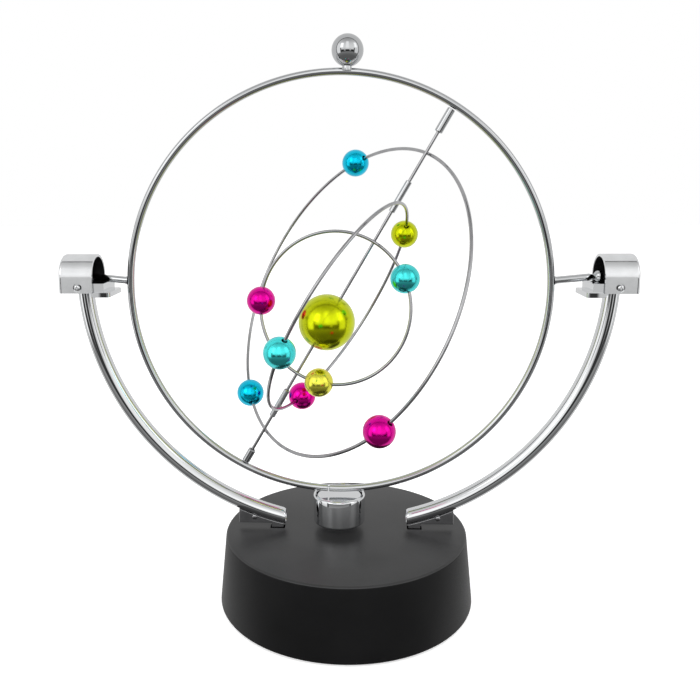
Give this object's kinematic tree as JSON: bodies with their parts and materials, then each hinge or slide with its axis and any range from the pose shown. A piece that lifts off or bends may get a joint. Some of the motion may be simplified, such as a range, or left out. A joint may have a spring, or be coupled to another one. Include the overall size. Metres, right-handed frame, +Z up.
{
  "type": "kinetic orbit desk toy",
  "caption": "Magnetically kicked desk orrery: a wire ring rocks on two arms above a round base, and nested wire orbits with coloured beads turn on a tilted axis inside it",
  "frame": {"origin": "Middle of the base on the surface it stands on, under the line midway between the two arms.", "axes": "+Z up, X along the hinge line of the swing ring from the left arm to the right arm, -Y towards the front."},
  "size_m": [0.2364, 0.1161, 0.2393],
  "materials": {
    "chrome": "polished",
    "steel": "satin",
    "capacitor_can": "satin",
    "black_plastic": "satin black",
    "rubber": "matte",
    "copper": "enamelled copper wire",
    "nylon": "natural nylon",
    "green_board": "solder mask",
    "cell_wrap": "shrink wrap over steel can",
    "nickel": "nickel plated",
    "cyan_bead": "metallic plated",
    "magenta_bead": "metallic plated",
    "teal_bead": "metallic plated",
    "lime_bead": "metallic plated",
    "yellow_bead": "metallic plated"
  },
  "bodies": {
    "stand": {"base_shell": "black_plastic", "bottom_plate": "black_plastic", "bottom_screw_1": "steel", "bottom_screw_2": "steel", "bottom_screw_3": "steel", "rubber_foot_1": "rubber", "rubber_foot_2": "rubber", "rubber_foot_3": "rubber", "rubber_foot_4": "rubber", "battery_door": "black_plastic", "battery_door_screw": "steel", "coil_bobbin": "nylon", "coil_winding": "copper", "circuit_board": "green_board", "capacitor": "capacitor_can", "transistor": "black_plastic", "battery_cell_1": "cell_wrap", "battery_cell_2": "cell_wrap", "battery_contact_left": "nickel", "battery_contact_right": "nickel", "arm_left": "chrome", "arm_foot_left": "chrome", "arm_screw_left": "steel", "bearing_block_left": "chrome", "bearing_hood_left": "chrome", "hood_screw_left": "chrome", "arm_right": "chrome", "arm_foot_right": "chrome", "arm_screw_right": "steel", "bearing_block_right": "chrome", "bearing_hood_right": "chrome", "hood_screw_right": "chrome"},
    "swing": {"swing_ring": "chrome", "ring_pin_left": "chrome", "ring_pin_right": "chrome", "top_ball": "chrome", "magnet_cup": "chrome", "magnet_cap": "chrome", "magnet_disc": "nickel", "axis_sleeve_upper": "chrome", "axis_sleeve_lower": "chrome"},
    "outer_orbit": {"outer_orbit_wire": "chrome", "outer_planet_cyan_1": "cyan_bead", "outer_planet_cyan_2": "cyan_bead", "outer_planet_magenta": "magenta_bead", "stub_shaft_upper": "chrome", "stub_shaft_lower": "chrome"},
    "middle_orbit": {"middle_orbit_wire": "chrome", "middle_planet_lime": "lime_bead", "middle_planet_teal": "teal_bead", "middle_planet_magenta": "magenta_bead", "middle_sleeve_upper": "chrome", "middle_sleeve_lower": "chrome"},
    "inner_orbit": {"inner_orbit_wire": "chrome", "inner_planet_magenta": "magenta_bead", "inner_planet_teal": "teal_bead", "inner_planet_yellow": "yellow_bead", "inner_shaft": "chrome", "sun": "lime_bead"}
  },
  "joints": [
    {"name": "ring_swing", "type": "hinge", "parent": "stand", "child": "swing", "pos_m": [0, 0, 0.1425], "axis": [1, 0, 0], "continuous": true},
    {"name": "outer_orbit_spin", "type": "hinge", "parent": "swing", "child": "outer_orbit", "pos_m": [-0.00065, 0, 0.1357], "axis": [0.5015, 0, 0.8652], "continuous": true},
    {"name": "middle_orbit_spin", "type": "hinge", "parent": "outer_orbit", "child": "middle_orbit", "pos_m": [-0.00065, 0, 0.1357], "axis": [0.5015, 0, 0.8652], "continuous": true},
    {"name": "inner_orbit_spin", "type": "hinge", "parent": "middle_orbit", "child": "inner_orbit", "pos_m": [-0.00065, 0, 0.1357], "axis": [0.5015, 0, 0.8652], "continuous": true}
  ]
}
